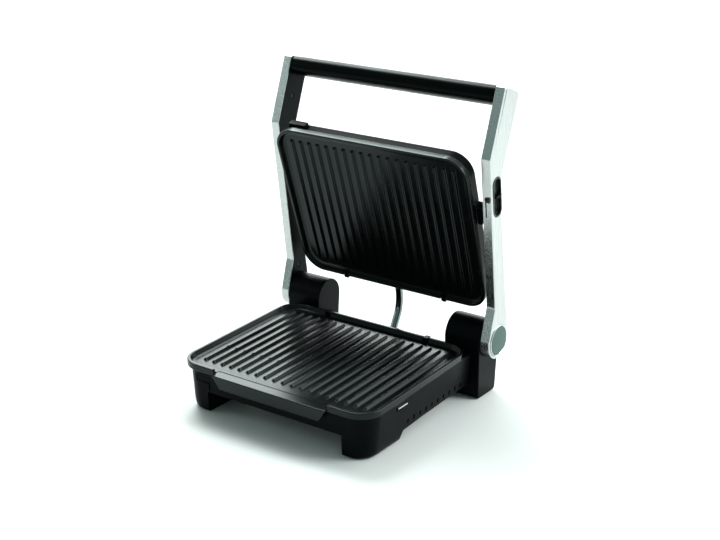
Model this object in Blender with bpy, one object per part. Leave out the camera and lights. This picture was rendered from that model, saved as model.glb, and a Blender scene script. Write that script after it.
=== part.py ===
"""Panini press, lid open: a contact grill with a floating upper plate between two steel arms.

Metres, +Z up, -Y is the front. The origin is on the table under the middle of the whole press.
"""
import math

import bmesh
import bpy
from mathutils import Matrix, Vector

for old in list(bpy.data.objects):
    bpy.data.objects.remove(old, do_unlink=True)

# ---------------------------------------------------------------- driving dimensions
GAP = 0.0003                       # clearance between neighbouring pieces
FRONT = -0.1495                    # y of the lower plate's front rim
PLATE_WIDTH = 0.290
PLATE_DEPTH = 0.2353
PLATE_RADIUS = 0.030
PLATE_TILT = math.radians(2.0)     # the lower plate drains towards the spout
PLATE_FRONT_HEIGHT = 0.0656        # top of the rim at the front, above the table
RIM_HEIGHT = 0.0085
RIM_THICKNESS = 0.0045
FLOOR_DEPTH = 0.0065               # plate floor below the rim
PLATE_UNDERSIDE = 0.0115
RIB_COUNT = 19
RIB_PITCH = 0.01364
RIB_WIDTH = 0.0062
RIB_HEIGHT = 0.0030

HINGE_Y = FRONT + 0.2655
HINGE_Z = 0.0795
HINGE_SHAFT_RADIUS = 0.0070
TOWER_RADIUS = 0.0255
TOWER_INNER_X = 0.1013
TOWER_OUTER_X = 0.1530

ARM_INNER_X = 0.1540
ARM_OUTER_X = 0.1665
ARM_END_RADIUS = 0.0245
SHEET = 0.0012                     # thickness of the steel arm covers

HEAD_LEAN = math.radians(19.7)     # the open head leans forward from the vertical
HEAD_TOP_Y = FRONT + 0.1959
HEAD_TOP_Z = 0.3262
HEAD_DEPTH = 0.2265                # upper plate, from its top edge to its bottom edge
HEAD_THICKNESS = 0.042
PIN_V = 0.0729                     # pivot pin: below the head's top edge
PIN_H = 0.0207                     # and behind the plate's face
PIN_RADIUS = 0.0042

PAD_HEIGHT = 0.0010                # rubber pads stand this far out of the feet
HOUSING_HALF = 0.1430
WALL = 0.0030
REAR_DECK = 0.0460                 # the base is lower behind the plate

# ---------------------------------------------------------------- materials


def srgb(hex_code):
    """Linear colour of an sRGB hex code."""
    channels = [int(hex_code[i:i + 2], 16) / 255 for i in (0, 2, 4)]
    return [c / 12.92 if c <= 0.04045 else ((c + 0.055) / 1.055) ** 2.4 for c in channels] + [1.0]


def material(name, hex_code, roughness, metallic):
    mat = bpy.data.materials.new(name)
    mat.use_nodes = True
    shader = mat.node_tree.nodes["Principled BSDF"]
    shader.inputs["Base Color"].default_value = srgb(hex_code)
    shader.inputs["Roughness"].default_value = roughness
    shader.inputs["Metallic"].default_value = metallic
    return mat


BLACK_PLASTIC = material("black_plastic", "17191a", 0.38, 0.0)
NON_STICK = material("non_stick_coating", "1c1e1e", 0.32, 0.1)
BRUSHED_STEEL = material("brushed_steel", "c9cfce", 0.30, 1.0)
BRIGHT_STEEL = material("bright_steel", "d6d9da", 0.18, 1.0)
GREY_CAP = material("grey_cap", "5c6a67", 0.35, 0.3)
GRIP_PLASTIC = material("grip_plastic", "101213", 0.42, 0.0)
RUBBER = material("rubber", "1b1b1b", 0.8, 0.0)
HEATER_METAL = material("heater_sheath", "6e6a66", 0.45, 1.0)
CERAMIC = material("ceramic", "d8d2c6", 0.5, 0.0)

# ---------------------------------------------------------------- shapes


def frame(origin, tilt):
    """Placement whose local X is the world's, turned by tilt about X."""
    return Matrix.Translation(origin) @ Matrix.Rotation(tilt, 4, 'X')


PLATE_FRAME = frame((0, FRONT, PLATE_FRONT_HEIGHT), PLATE_TILT)
# The head's local Y runs down its face, Z forward out of the face and X to the press's left.
HEAD_FRAME = frame((0, HEAD_TOP_Y, HEAD_TOP_Z), HEAD_LEAN - math.pi / 2) @ Matrix.Rotation(math.pi, 4, 'Y')


def rounded_rectangle(x0, y0, x1, y1, radii, steps=5):
    """Outline of a rectangle with a radius for each corner, anticlockwise from the lower left."""
    points = []
    corners = ((x0, y0, 1, 1, 180), (x1, y0, -1, 1, 270), (x1, y1, -1, -1, 0), (x0, y1, 1, -1, 90))
    for (x, y, sx, sy, start), radius in zip(corners, radii):
        if radius <= 0:
            points.append((x, y))
            continue
        for k in range(steps + 1):
            angle = math.radians(start + 90 * k / steps)
            points.append((x + sx * radius + radius * math.cos(angle),
                           y + sy * radius + radius * math.sin(angle)))
    return points


def circle(cy, cz, radius, steps=24, start=0.0, sweep=360.0):
    """Points of an arc; a full circle leaves out its repeated last point."""
    count = steps if sweep == 360.0 else steps + 1
    return [(cy + radius * math.cos(math.radians(start + sweep * k / steps)),
             cz + radius * math.sin(math.radians(start + sweep * k / steps))) for k in range(count)]


def finish(mesh, name, mat, matrix=Matrix(), smooth=False):
    """Object from a bmesh, with its faces turned outwards and its place in matrix."""
    bmesh.ops.remove_doubles(mesh, verts=mesh.verts, dist=1e-6)
    bmesh.ops.recalc_face_normals(mesh, faces=mesh.faces)
    data = bpy.data.meshes.new(name)
    mesh.to_mesh(data)
    mesh.free()
    if mat:
        data.materials.append(mat)
    if smooth:
        data.shade_smooth()
        data.set_sharp_from_angle(angle=math.radians(35))
    obj = bpy.data.objects.new(name, data)
    obj.matrix_world = matrix
    bpy.context.collection.objects.link(obj)
    return obj


def loft(rings, name, mat, matrix=Matrix(), smooth=False):
    """Closed solid through rings of 3-D points that have the same count, capped at both ends."""
    mesh = bmesh.new()
    rows = [[mesh.verts.new(p) for p in ring] for ring in rings]
    count = len(rings[0])
    for below, above in zip(rows, rows[1:]):
        for k in range(count):
            mesh.faces.new((below[k], below[(k + 1) % count], above[(k + 1) % count], above[k]))
    mesh.faces.new(rows[0])
    mesh.faces.new(rows[-1])
    return finish(mesh, name, mat, matrix, smooth)


def slab(outline, z0, z1, name, mat, matrix=Matrix(), shrink=0.0, smooth=False):
    """Outline in XY carried from z0 to z1; shrink draws the z1 end in towards the middle."""
    xs = [p[0] for p in outline]
    ys = [p[1] for p in outline]
    cx, cy = (min(xs) + max(xs)) / 2, (min(ys) + max(ys)) / 2
    half = (max(xs) - min(xs)) / 2, (max(ys) - min(ys)) / 2
    scale = (half[0] - shrink) / half[0], (half[1] - shrink) / half[1]
    top = [(cx + (x - cx) * scale[0], cy + (y - cy) * scale[1], z1) for x, y in outline]
    return loft([[(x, y, z0) for x, y in outline], top], name, mat, matrix, smooth)


def side_slab(outline, x0, x1, name, mat, smooth=False):
    """Outline in YZ carried from x0 to x1."""
    return loft([[(x, y, z) for y, z in outline] for x in (x0, x1)], name, mat, smooth=smooth)


def box(x0, y0, z0, x1, y1, z1, name, mat, matrix=Matrix()):
    return slab([(x0, y0), (x1, y0), (x1, y1), (x0, y1)], z0, z1, name, mat, matrix)


def cylinder_x(cy, cz, radius, x0, x1, name, mat, steps=24, bevel=0.0):
    """Cylinder along X, with its two rims bevelled."""
    ends = [(x0, radius - bevel), (x0 + bevel, radius), (x1 - bevel, radius), (x1, radius - bevel)]
    if not bevel:
        ends = [(x0, radius), (x1, radius)]
    rings = [[(x, y, z) for y, z in circle(cy, cz, r, steps)] for x, r in ends]
    return loft(rings, name, mat, smooth=True)


def tube(points, radius, name, mat, matrix=Matrix(), sides=2):
    """Round bar along a list of points, as a curve with filled caps turned into a mesh."""
    curve = bpy.data.curves.new(name, 'CURVE')
    curve.dimensions = '3D'
    curve.bevel_depth = radius
    curve.bevel_resolution = sides
    curve.use_fill_caps = True
    spline = curve.splines.new('POLY')
    spline.points.add(len(points) - 1)
    for place, point in zip(spline.points, points):
        place.co = (*point, 1)
    curve.materials.append(mat)
    obj = bpy.data.objects.new(name, curve)
    obj.matrix_world = matrix
    bpy.context.collection.objects.link(obj)
    return obj


def boolean(obj, other, operation):
    """Cut other from obj, or join it to obj, for good."""
    bpy.context.view_layer.update()
    modifier = obj.modifiers.new(operation.lower(), 'BOOLEAN')
    modifier.object = other
    modifier.operation = operation
    modifier.solver = 'EXACT'
    bpy.context.view_layer.update()
    depsgraph = bpy.context.evaluated_depsgraph_get()
    data = bpy.data.meshes.new_from_object(obj.evaluated_get(depsgraph))
    obj.modifiers.clear()
    obj.data = data
    bpy.data.objects.remove(other, do_unlink=True)


def cut(obj, *others):
    for other in others:
        boolean(obj, other, 'DIFFERENCE')


def join(obj, *others):
    for other in others:
        boolean(obj, other, 'UNION')


def smooth_by_curve(points, count):
    """Points spaced along a Catmull-Rom curve through the given points."""
    ends = [points[0] * 2 - points[1], *points, points[-1] * 2 - points[-2]]
    result = []
    for k in range(count):
        place = k / (count - 1) * (len(points) - 1)
        i = min(int(place), len(points) - 2)
        t = place - i
        a, b, c, d = ends[i:i + 4]
        result.append(0.5 * ((2 * b) + (c - a) * t + (2 * a - 5 * b + 4 * c - d) * t * t
                             + (3 * b - a - 3 * c + d) * t ** 3))
    return result


# ---------------------------------------------------------------- the two cooking plates


def rib(index, y0, y1, matrix):
    """One ridge of the plate, with sloped sides and ends; it starts inside the plate's floor."""
    x = (index - (RIB_COUNT - 1) / 2) * RIB_PITCH
    half = RIB_WIDTH / 2
    base = -FLOOR_DEPTH - 0.001
    top = -FLOOR_DEPTH + RIB_HEIGHT
    rings = []
    for z, inset in ((base, 0.0), (-FLOOR_DEPTH, 0.0), (top, 0.0014)):
        rings.append([(px, py, z) for px, py in rounded_rectangle(
            x - half + inset, y0 + inset, x + half - inset, y1 - inset, [half - inset] * 4, 2)])
    return loft(rings, "rib", None, matrix)


def cooking_plate(name, depth, matrix, rib_start, rib_end):
    """Die-cast plate: rounded rim, sunk floor with ridges and a stepped underside."""
    half = PLATE_WIDTH / 2
    radius = PLATE_RADIUS
    outline = rounded_rectangle(-half, 0, half, depth, [radius] * 4)
    plate = slab(outline, -RIM_HEIGHT, 0, name, NON_STICK, matrix, smooth=True)
    under = 0.011
    join(plate, slab(rounded_rectangle(-half + under, under, half - under, depth - under,
                                       [radius - under] * 4), -PLATE_UNDERSIDE,
                     -RIM_HEIGHT + 0.001, "underside", None, matrix))
    edge = RIM_THICKNESS
    cut(plate, slab(rounded_rectangle(-half + edge, edge, half - edge, depth - edge,
                                      [radius - edge] * 4), 0.001, -FLOOR_DEPTH,
                    "pocket", None, matrix, shrink=0.002))
    for index in range(RIB_COUNT):
        join(plate, rib(index, rib_start, rib_end, matrix))
    for side in (-1, 1):
        cut(plate, box(side * HOOK_X - 0.0042, depth - RIM_THICKNESS - 0.002, -0.0056,
                       side * HOOK_X + 0.0042, depth + 0.001, 0.001, "hook_notch", None, matrix))
    return plate


HOOK_X = 0.078
SPOUT_TOP_HALF = 0.0865
SPOUT_LOW_HALF = 0.0755
APRON_DROP = 0.0235


def lower_plate():
    """Lower plate: its front rim opens into a wide grease spout with a short apron."""
    plate = cooking_plate("lower_plate", PLATE_DEPTH, PLATE_FRAME, 0.0255, 0.2175)
    gate = [(-SPOUT_TOP_HALF, 0.001), (-SPOUT_TOP_HALF, -0.004), (-SPOUT_LOW_HALF - 0.003, -0.0066),
            (SPOUT_LOW_HALF + 0.003, -0.0066), (SPOUT_TOP_HALF, -0.004), (SPOUT_TOP_HALF, 0.001)]
    rings = [[(x, y, z) for x, z in gate] for y in (-0.001, RIM_THICKNESS + 0.003)]
    cut(plate, loft(rings, "gate", None, PLATE_FRAME))
    apron = [(-SPOUT_TOP_HALF, -0.0072), (-SPOUT_LOW_HALF, -APRON_DROP),
             (SPOUT_LOW_HALF, -APRON_DROP), (SPOUT_TOP_HALF, -0.0072)]
    rings = [[(x, y, z) for x, z in apron] for y in (-0.0035, 0.0006)]
    join(plate, loft(rings, "apron", None, PLATE_FRAME))
    return plate


def upper_plate():
    return cooking_plate("upper_plate", HEAD_DEPTH, HEAD_FRAME, 0.0175, 0.2085)


def heater(name, matrix, depth, z):
    """Sheathed heating element, bent into a long U under the plate."""
    half, front, rear, bend = 0.095, 0.045, depth - 0.045, 0.03
    points = [Vector((-half + 0.03, rear, z)), Vector((-half, rear - 0.02, z))]
    points += [Vector((-half, front + bend, z)), Vector((-half + bend * 0.3, front + bend * 0.3, z)),
               Vector((-half + bend, front, z)), Vector((half - bend, front, z)),
               Vector((half - bend * 0.3, front + bend * 0.3, z)), Vector((half, front + bend, z))]
    points += [Vector((half, rear - 0.02, z)), Vector((half - 0.03, rear, z))]
    return tube(points, 0.0033, name, HEATER_METAL, matrix)


def thermostat(name, matrix, z):
    """Disc thermostat clamped near the middle of the plate."""
    rings = [[(0.03 + x, 0.11 + y, h) for x, y in circle(0, 0, r, 12)]
             for h, r in ((z, 0.009), (z - 0.006, 0.009), (z - 0.0065, 0.006), (z - 0.009, 0.006))]
    return loft(rings, name, CERAMIC, matrix)


# ---------------------------------------------------------------- base

BASE_REAR = FRONT + 0.2885
LEG_INNER_X = 0.1025
LEG_REAR = FRONT + 0.083
ARCH_HEIGHT = 0.0285
DECK_TOP = -0.0260                 # web under the lower plate, in the plate's frame
DECK_BOTTOM = -0.0290
VENT_COUNT = 10


def base_housing():
    """Moulded base: drafted walls, two front legs, a web under the plate and side vents."""
    half = HOUSING_HALF
    rings = []
    for z, inset in ((PAD_HEIGHT, 0.0115), (0.0025, 0.0085), (0.0060, 0.0060), (0.0120, 0.0048),
                     (0.0660, 0.0), (0.1, 0.0)):
        outline = rounded_rectangle(-half + inset, FRONT + 0.0065 + inset * 0.5, half - inset, BASE_REAR,
                                    [0.0275 - inset * 0.5, 0.0275 - inset * 0.5, 0.004, 0.004])
        rings.append([(x, y, z) for x, y in outline])
    housing = loft(rings, "base_housing", BLACK_PLASTIC, smooth=True)
    cut(housing, box(-0.2, -0.05, -RIM_HEIGHT - GAP, 0.2, 0.4, 0.2, "above", None, PLATE_FRAME))
    edge = 0.0035
    cut(housing, slab(rounded_rectangle(-half + edge, 0.0098, half - edge, 0.2330, [0.022] * 4),
                      DECK_TOP, 0.01, "tray", None, PLATE_FRAME),
        box(-0.2, FRONT + 0.2400, REAR_DECK, 0.2, 0.4, 0.2, "rear_deck", None))
    inner = half - 0.0048 - WALL
    hollow = slab(rounded_rectangle(-inner, 0.0150, inner, 0.2840, [0.022, 0.022, 0.002, 0.002]),
                  DECK_BOTTOM - 0.2, DECK_BOTTOM, "hollow", None, PLATE_FRAME)
    cut(hollow, box(-0.2, FRONT + 0.2360, REAR_DECK - WALL, 0.2, 0.4, 0.2, "deck_skin", None))
    for side in (-1, 1):
        x0, x1 = sorted((side * (LEG_INNER_X - WALL), side * 0.2))
        cut(hollow, box(x0, FRONT - 0.05, -0.3, x1, LEG_REAR - WALL, ARCH_HEIGHT, "leg", None))
        x0, x1 = sorted((side * (TOWER_INNER_X - WALL), side * 0.2))
        cut(hollow, box(x0, HINGE_Y - TOWER_RADIUS - WALL, -0.3, x1, 0.3, 0.2, "end_wall", None))
    cut(housing, hollow)
    cut(housing, box(-LEG_INNER_X, FRONT - 0.05, -0.05, LEG_INNER_X, FRONT + 0.32, ARCH_HEIGHT,
                     "front_arch", None))
    rise = [(LEG_REAR, -0.05), (FRONT + 0.32, -0.05), (FRONT + 0.32, 0.0235), (FRONT + 0.13, 0.0170),
            (LEG_REAR + 0.004, 0.0142), (LEG_REAR, 0.008)]
    cut(housing, side_slab(rise, -0.2, 0.2, "side_arch", None))
    for side in (-1, 1):
        x0, x1 = sorted((side * (TOWER_INNER_X - 0.0008), side * 0.2))
        cut(housing, box(x0, HINGE_Y - TOWER_RADIUS - 0.0012, -0.05, x1, 0.3, 0.2, "corner", None))
        for k in range(VENT_COUNT):
            y = FRONT + 0.096 + k * 0.0137
            z = 0.0205 + k * 0.00035
            x0, x1 = sorted((side * (inner - 0.001), side * 0.15))
            cut(housing, box(x0, y - 0.0016, z, x1, y + 0.0016, z + 0.0060, "vent", None))
    x0, x1, z0, z1 = BUTTON_RECESS
    cut(housing, box(x0, FRONT - 0.01, z0, x1, FRONT + 0.0165, z1, "button_bar", None),
        box(-0.1100, FRONT - 0.01, 0.0310, x1, FRONT + 0.0165, z0 + 0.001, "button_stem", None),
        box(HOUSING_HALF - 0.008, FRONT + 0.0655, 0.0475, HOUSING_HALF + 0.01, FRONT + 0.0885, 0.0545,
            "clip_window", None),
        turned("conduit_hole", CONDUIT_FOOT - CONDUIT_LEAVES * 0.02, CONDUIT_LEAVES,
               ((0, CONDUIT_RADIUS + GAP), (0.04, CONDUIT_RADIUS + GAP)), None))
    return housing


BUTTON_RECESS = (-0.1225, -0.0985, 0.0400, 0.0500)


def lower_button():
    """Plate release: an L-shaped push button in the left front leg."""
    x0, x1, z0, z1 = BUTTON_RECESS
    y0, y1 = FRONT + 0.0066, FRONT + 0.0135
    stem = box(-0.1100 + 0.0008, y0, 0.0310 + 0.0008, x1 - 0.0008, y1, z0 + 0.0008,
               "lower_button", BLACK_PLASTIC)
    join(stem, box(x0 + 0.0008, y0 + 0.0015, z0 + 0.0005, x1 - 0.0008, y1, z1 - 0.0008, "bar", None))
    return stem


def bottom_cover():
    """Plate that closes the base from below, with a screw near each corner."""
    z = ARCH_HEIGHT + 0.0005
    narrow, wide = LEG_INNER_X - WALL - 0.001, HOUSING_HALF - 0.0048 - WALL - 0.001
    y0, y1, y2 = FRONT + 0.0180, LEG_REAR, HINGE_Y - TOWER_RADIUS - WALL - 0.001
    rear = TOWER_INNER_X - WALL - 0.001
    y3 = FRONT + 0.2825
    right = [(narrow, y0), (narrow, y1), (wide, y1), (wide, y2), (rear, y2), (rear, y3)]
    outline = right + [(-x, y) for x, y in reversed(right)]
    cover = slab(outline, z, z + 0.0022, "bottom_cover", BLACK_PLASTIC)
    for row, y in (("front", y0 + 0.012), ("rear", y3 - 0.012)):
        for side, sx in (("left", -1), ("right", 1)):
            x = sx * (rear - 0.012)
            cut(cover, slab(circle(x, y, 0.0022, 12), z - 0.01, z + 0.01, "hole", None))
            screw("cover_screw_" + row + "_" + side, Matrix.Translation((x, y, z - GAP)))
    return cover


def screw(name, matrix):
    """Pan-head screw, head at local -Z, with a plain shank."""
    profile = ((-0.0022, 0.0022), (-0.0018, 0.0032), (0.0, 0.0036), (0.0, 0.0018), (0.0062, 0.0018))
    rings = [[(x, y, z) for x, y in circle(0, 0, radius, 12)] for z, radius in profile]
    return loft(rings, name, BRIGHT_STEEL, matrix, smooth=True)


def tower_outline(grow=0.0):
    """Side view of a hinge tower: round top, straight sides with a little draft, rounded foot."""
    radius = TOWER_RADIUS + grow
    top = circle(HINGE_Y, HINGE_Z, radius, 18, 0, 180)
    foot = [(HINGE_Y - radius + 0.0028, 0.006), (HINGE_Y - radius + 0.0055, PAD_HEIGHT),
            (HINGE_Y + radius - 0.0065, PAD_HEIGHT), (HINGE_Y + radius - 0.0032, 0.006)]
    return top + foot


def hinge_tower(name, side):
    """Hinge housing that is also the rear foot; the lid's shaft turns in its bore."""
    x0, x1 = sorted((side * TOWER_INNER_X, side * TOWER_OUTER_X))
    tower = side_slab(tower_outline(), x0, x1, name, BLACK_PLASTIC, smooth=True)
    bore_x0, bore_x1 = sorted((side * (TOWER_INNER_X + 0.012), side * 0.2))
    cut(tower, cylinder_x(HINGE_Y, HINGE_Z, HINGE_SHAFT_RADIUS + GAP, bore_x0, bore_x1, "bore", None))
    return tower


def pads():
    """Four rubber pads let into the feet."""
    places = {"front_left": (-0.1200, FRONT + 0.045, 0.011, 0.022),
              "front_right": (0.1200, FRONT + 0.045, 0.011, 0.022),
              "rear_left": (-0.1270, HINGE_Y, 0.016, 0.012),
              "rear_right": (0.1270, HINGE_Y, 0.016, 0.012)}
    result = []
    for place, (x, y, hx, hy) in places.items():
        outline = rounded_rectangle(x - hx, y - hy, x + hx, y + hy, [0.006] * 4, 3)
        result.append(slab(outline, 0.0, PAD_HEIGHT - GAP / 3, "foot_pad_" + place, RUBBER))
    return result


def plate_hook(name, matrix, x, depth, foot):
    """Hook that holds a plate's far rim down in its notch; foot is its lower outline."""
    profile = foot + [(depth + 0.0034, -0.0004), (depth - 0.0058, -0.0004), (depth - 0.0058, -0.0053),
                      (depth + GAP, -0.0053)]
    rings = [[(px, y, z) for y, z in profile] for px in (x - 0.0034, x + 0.0034)]
    return loft(rings, name, BLACK_PLASTIC, matrix)


def side_clip():
    """Bent spring-steel catch that grips the lower plate's rim on the right."""
    x = HOUSING_HALF - 0.0042
    y0, y1 = FRONT + 0.0670, FRONT + 0.0870
    profile = [(x, 0.0480), (x + 0.0012, 0.0480), (x + 0.0052, 0.0510), (x + 0.0052, 0.0522),
               (x + 0.0012, 0.0540), (x, 0.0540)]
    rings = [[(px, y, z) for px, z in profile] for y in (y0, y1)]
    return loft(rings, "side_clip", BRIGHT_STEEL)


def hinge_shaft(name, side):
    """Headless steel shaft from the tower's bore into the arm's liner."""
    x0, x1 = sorted((side * (TOWER_INNER_X + 0.0130), side * (ARM_OUTER_X - 0.0075)))
    return cylinder_x(HINGE_Y, HINGE_Z, HINGE_SHAFT_RADIUS, x0, x1, name, BRIGHT_STEEL, 20, 0.0006)


def mains_inlet():
    """Gland in the rear wall where the mains lead would enter."""
    y = BASE_REAR + GAP
    rings = []
    for dy, r in ((0.0, 0.0058), (0.0035, 0.0055), (0.0035, 0.0045), (0.0085, 0.0040)):
        rings.append([(0.060 + a, y + dy, 0.0365 + b) for a, b in circle(0, 0, r, 16)])
    return loft(rings, "mains_inlet", RUBBER, smooth=True)


def terminal_block():
    return box(0.040, FRONT + 0.246, 0.0322, 0.070, FRONT + 0.262, 0.0420, "terminal_block", CERAMIC)


# ---------------------------------------------------------------- conduit between base and head

CONDUIT_X = -0.003
CONDUIT_RADIUS = 0.0052
CONDUIT_DEPTH = 0.0168             # behind the upper plate's face
CONDUIT_FOOT = Vector((CONDUIT_X, FRONT + 0.2772, REAR_DECK))
CONDUIT_LEAVES = Vector((0, 0.5, 0.866))
CONDUIT_MOUTH = HEAD_FRAME @ Vector((-CONDUIT_X, HEAD_DEPTH - 0.0025, -CONDUIT_DEPTH))
HEAD_DOWN = HEAD_FRAME.to_3x3() @ Vector((0, 1, 0))
CONDUIT_BULGE = [(0.2848, 0.0616), (0.2909, 0.0742), (0.2928, 0.0883), (0.2920, 0.0990),
                 (0.2899, 0.1090)]


def conduit():
    """Flexible steel conduit that carries the head's wires."""
    points = [CONDUIT_FOOT - CONDUIT_LEAVES * 0.006]
    points += [Vector((CONDUIT_X, FRONT + y, z)) for y, z in CONDUIT_BULGE]
    points.append(CONDUIT_MOUTH - HEAD_DOWN * 0.005)
    return tube(smooth_by_curve(points, 14), CONDUIT_RADIUS, "conduit", BRIGHT_STEEL)


def turned(name, centre, direction, radii, mat):
    """Turned solid; radii are (distance along direction, radius)."""
    turn = Vector(direction).to_track_quat('Z', 'Y').to_matrix().to_4x4()
    rings = [[(x, y, z) for x, y in circle(0, 0, r, 16)] for z, r in radii]
    return loft(rings, name, mat, Matrix.Translation(centre) @ turn, smooth=True)


def collar(name, centre, direction, outer, hole):
    """Plastic collar with a flared hole; outer and hole are radii as in turned."""
    ring = turned(name, centre, direction, outer, BLACK_PLASTIC)
    cut(ring, turned("hole", centre, direction, hole, None))
    return ring


def conduit_gland_base():
    """Collar on the rear deck of the base, around the conduit's foot."""
    inner = CONDUIT_RADIUS + GAP
    foot = CONDUIT_FOOT + Vector((0, GAP * 2, GAP))
    return collar("conduit_gland_base", foot, (0, 0, 1), ((0.0, 0.0110), (0.0030, 0.0105)),
                  ((-0.0010, inner + 0.0011), (0.0040, inner + 0.0025)))


# ---------------------------------------------------------------- arms

ARM_TOP_LEAN = math.radians(19)
ARM_TOP_UP = Vector((math.sin(ARM_TOP_LEAN), math.cos(ARM_TOP_LEAN)))
ARM_TOP_BACK = Vector((math.cos(ARM_TOP_LEAN), -math.sin(ARM_TOP_LEAN)))
ARM_LOW_BEND = Vector((FRONT + 0.2527, 0.1272))
ARM_FRONT_BEND = Vector((FRONT + 0.2200, 0.3266))
ARM_REAR_BEND = Vector((FRONT + 0.2493, 0.2909))
ARM_TOP_FRONT = ARM_FRONT_BEND + ARM_TOP_UP * 0.091
ARM_TOP_REAR = ARM_TOP_FRONT + ARM_TOP_BACK * 0.0393


def tangent_angle(point, radius, side):
    """Angle in degrees on the hinge's circle where a line from point touches it."""
    dy, dz = point.x - HINGE_Y, point.y - HINGE_Z
    return math.degrees(math.atan2(dz, dy) + side * math.acos(radius / math.hypot(dy, dz)))


def fillet(before, corner, after, radius, steps):
    """Arc that rounds a corner of a polygon."""
    a = (Vector(before) - corner).normalized()
    b = (Vector(after) - corner).normalized()
    half = a.angle(b) / 2
    start, end = corner + a * radius / math.tan(half), corner + b * radius / math.tan(half)
    centre = corner + (a + b).normalized() * radius / math.sin(half)
    points = []
    for k in range(steps + 1):
        direction = (start - centre).lerp(end - centre, k / steps).normalized()
        points.append(tuple(centre + direction * radius))
    return points


def arm_outline(inset=0.0):
    """Side view of an arm, from the front of its round end by way of the rear; inset shrinks it."""
    front = tangent_angle(ARM_LOW_BEND, ARM_END_RADIUS, 1)
    rear = tangent_angle(ARM_REAR_BEND, ARM_END_RADIUS, -1)
    points = circle(HINGE_Y, HINGE_Z, ARM_END_RADIUS, 18, front, 360 + rear - front)
    first, last = points[0], points[-1]
    points += fillet(last, ARM_REAR_BEND, ARM_TOP_REAR, 0.020, 3)
    points += fillet(ARM_REAR_BEND, ARM_TOP_REAR, ARM_TOP_FRONT, 0.0075, 4)
    points += fillet(ARM_TOP_REAR, ARM_TOP_FRONT, ARM_FRONT_BEND, 0.0045, 4)
    points += fillet(ARM_TOP_FRONT, ARM_FRONT_BEND, ARM_LOW_BEND, 0.012, 4)
    points += fillet(ARM_FRONT_BEND, ARM_LOW_BEND, first, 0.020, 3)
    if not inset:
        return points
    result = []
    for k, point in enumerate(points):
        along = (Vector(points[(k + 1) % len(points)]) - Vector(points[k - 1])).normalized()
        result.append(tuple(Vector(point) + Vector((-along.y, along.x)) * inset))
    return result


def arm_cover(name, side):
    """Pressed steel cover: the outer face and a flange right round its edge."""
    x_in, x_out = side * ARM_INNER_X, side * ARM_OUTER_X
    cover = side_slab(arm_outline(), x_in, x_out, name, BRUSHED_STEEL, smooth=True)
    cut(cover, side_slab(arm_outline(SHEET), x_in - side * 0.01, x_out - side * SHEET, "inside", None))
    cut(cover, cylinder_x(HINGE_Y, HINGE_Z, CAP_RADIUS + GAP, min(x_in, x_out) - 0.01,
                          max(x_in, x_out) + 0.01, "cap_hole", None, 32))
    return cover


CAP_RADIUS = 0.0208
CAP_CROWN = 0.0025


def arm_liner(name, side):
    """Plastic filling of the arm; the shaft, the head's pin, the grip's rod and screws enter it."""
    x_in, x_out = side * (ARM_INNER_X + 0.0002), side * (ARM_OUTER_X - SHEET - GAP)
    liner = side_slab(arm_outline(SHEET + GAP), x_in, x_out, name, BLACK_PLASTIC, smooth=True)
    low = min(x_in, x_out)
    high = max(x_in, x_out)
    cap_x0, cap_x1 = sorted((side * (ARM_OUTER_X - 0.0065), side * 0.2))
    cut(liner, cylinder_x(HINGE_Y, HINGE_Z, CAP_RADIUS + GAP, cap_x0, cap_x1, "cap_seat", None, 32))
    cut(liner, cylinder_x(HINGE_Y, HINGE_Z, HINGE_SHAFT_RADIUS + GAP, low - 0.01,
                          high + 0.01, "shaft_hole", None, 20))
    pin_x0, pin_x1 = sorted((side * 0.1, side * (PIN_OUTER_X + GAP)))
    cut(liner, cylinder_x(HEAD_AXIS_POINT[1], HEAD_AXIS_POINT[2], PIN_RADIUS + GAP, pin_x0, pin_x1,
                          "pin_hole", None, 16))
    rod_x0, rod_x1 = sorted((side * 0.1, side * (ROD_END_X + GAP)))
    cut(liner, cylinder_x(GRIP_Y, GRIP_Z, ROD_RADIUS + GAP, rod_x0, rod_x1, "rod_hole", None, 16))
    screws = []
    for place, (y, z) in ARM_SCREWS.items():
        x0, x1 = sorted((side * 0.1, side * (ARM_OUTER_X - 0.0025)))
        cut(liner, cylinder_x(y, z, 0.0040, *sorted((side * 0.1, side * (ARM_INNER_X + 0.0030))),
                              "counterbore", None, 16))
        cut(liner, cylinder_x(y, z, 0.0021, x0, x1, "screw_hole", None, 12))
        turn = Matrix.Rotation(side * math.pi / 2, 4, 'Y')
        place_matrix = Matrix.Translation((side * (ARM_INNER_X + 0.0030 - GAP), y, z)) @ turn
        screws.append(screw("arm_screw_" + place + ("_right" if side > 0 else "_left"), place_matrix))
    return liner, screws


ARM_SCREWS = {"upper": (FRONT + 0.2510, 0.3575), "lower": (FRONT + 0.2655, 0.1155)}
PIN_OUTER_X = 0.1567
ROD_END_X = 0.1610
ROD_RADIUS = 0.0060
GRIP_Y = FRONT + 0.2641
GRIP_Z = 0.3962
GRIP_HALF_WIDTH = 0.0190
GRIP_HALF_HEIGHT = 0.0125
GRIP_CORNER = 0.0110
HEAD_AXIS_POINT = (0.0, HEAD_TOP_Y + PIN_V * math.sin(HEAD_LEAN) + PIN_H * math.cos(HEAD_LEAN),
                   HEAD_TOP_Z - PIN_V * math.cos(HEAD_LEAN) + PIN_H * math.sin(HEAD_LEAN))


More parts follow.
